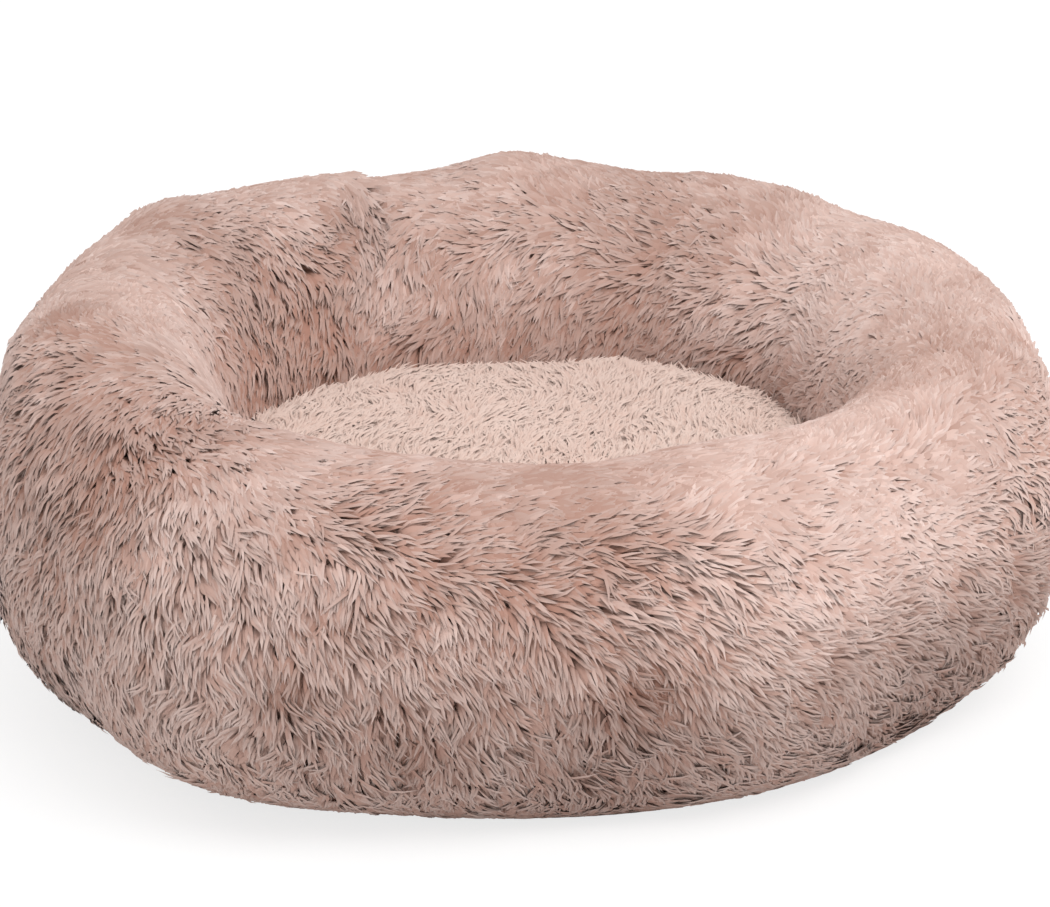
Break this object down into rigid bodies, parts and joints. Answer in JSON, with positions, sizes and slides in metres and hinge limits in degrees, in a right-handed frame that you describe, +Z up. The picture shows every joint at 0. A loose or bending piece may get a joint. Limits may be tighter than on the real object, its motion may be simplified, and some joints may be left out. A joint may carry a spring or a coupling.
{
  "type": "round dog bed",
  "caption": "Round pet bed: a stuffed long-pile fur rim round a lower plush sleeping pad, on a dotted cloth base with a zip in a recess underneath.",
  "frame": {"origin": "on the floor, under the middle of the bed's outline", "axes": "+Z up; the lower front of the rim faces -Y; the zip runs along X"},
  "size_m": [0.5832, 0.5814, 0.2114],
  "materials": {
    "long_pile_fur": "matte",
    "short_pile_fur": "matte",
    "nonwoven_lining": "matte",
    "polyester_fibre": "matte",
    "oxford_cloth": "matte",
    "piping_tape": "matte",
    "zip_tape_weave": "matte",
    "zip_nylon": "satin",
    "nickel_plate": "satin"
  },
  "bodies": {
    "bed": {"rim_fur_front": "long_pile_fur", "rim_fur_rear": "long_pile_fur", "rim_fur_left": "long_pile_fur", "rim_fur_right": "long_pile_fur", "rim_liner": "nonwoven_lining", "rim_fibre_fill": "polyester_fibre", "centre_fur_panel": "short_pile_fur", "centre_liner": "nonwoven_lining", "centre_fibre_fill": "polyester_fibre", "base_cloth_front": "oxford_cloth", "base_cloth_rear": "oxford_cloth", "base_piping": "piping_tape", "zip_tape_front": "zip_tape_weave", "zip_tape_rear": "zip_tape_weave", "zip_coil_front": "zip_nylon", "zip_coil_rear": "zip_nylon", "zip_top_stop_front": "nickel_plate", "zip_top_stop_rear": "nickel_plate", "zip_bottom_stop": "nickel_plate"},
    "slider": {"zip_slider": "nickel_plate"},
    "pull_tab": {"zip_pull_tab": "nickel_plate"}
  },
  "joints": [
    {"name": "zip_slide", "type": "slide", "parent": "bed", "child": "slider", "axis": [-1, 0, 0], "range_m": [0, 0.247]},
    {"name": "pull_tab_hinge", "type": "hinge", "parent": "slider", "child": "pull_tab", "pos_m": [0.1236, 0, 0.003], "axis": [0, -1, 0], "range_deg": [0, 165]}
  ]
}
